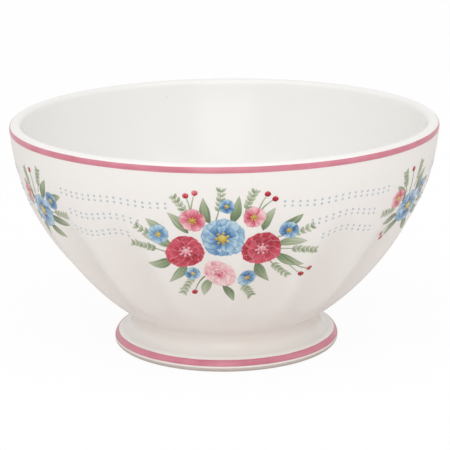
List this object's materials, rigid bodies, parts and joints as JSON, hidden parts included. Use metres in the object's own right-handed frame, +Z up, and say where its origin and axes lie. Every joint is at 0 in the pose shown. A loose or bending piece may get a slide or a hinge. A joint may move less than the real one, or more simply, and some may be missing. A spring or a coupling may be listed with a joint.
{
  "type": "latte bowl",
  "caption": "Footed porcelain drinking bowl with scooped flutes round its side, a rounded lip, a flared hollow foot and fired enamel lines, for milky coffee, cereal or soup.",
  "frame": {"origin": "centre of the ring that the foot stands on, on the surface under the bowl", "axes": "+Z up the bowl's axis, -Y towards the front, +X to the right as seen from the front"},
  "size_m": [0.15, 0.15, 0.0809],
  "materials": {
    "white_glaze": "glossy clear glaze on white porcelain",
    "pink_enamel": "glossy pink enamel fired on the glaze",
    "blue_enamel": "glossy pale blue enamel fired on the glaze",
    "flower_enamel": "print in soft enamels of several colours fired on the glaze"
  },
  "bodies": {
    "root": {"bowl_body": "white_glaze", "foot_ring": "white_glaze", "rim_band": "pink_enamel", "foot_band": "pink_enamel"}
  },
  "joints": []
}
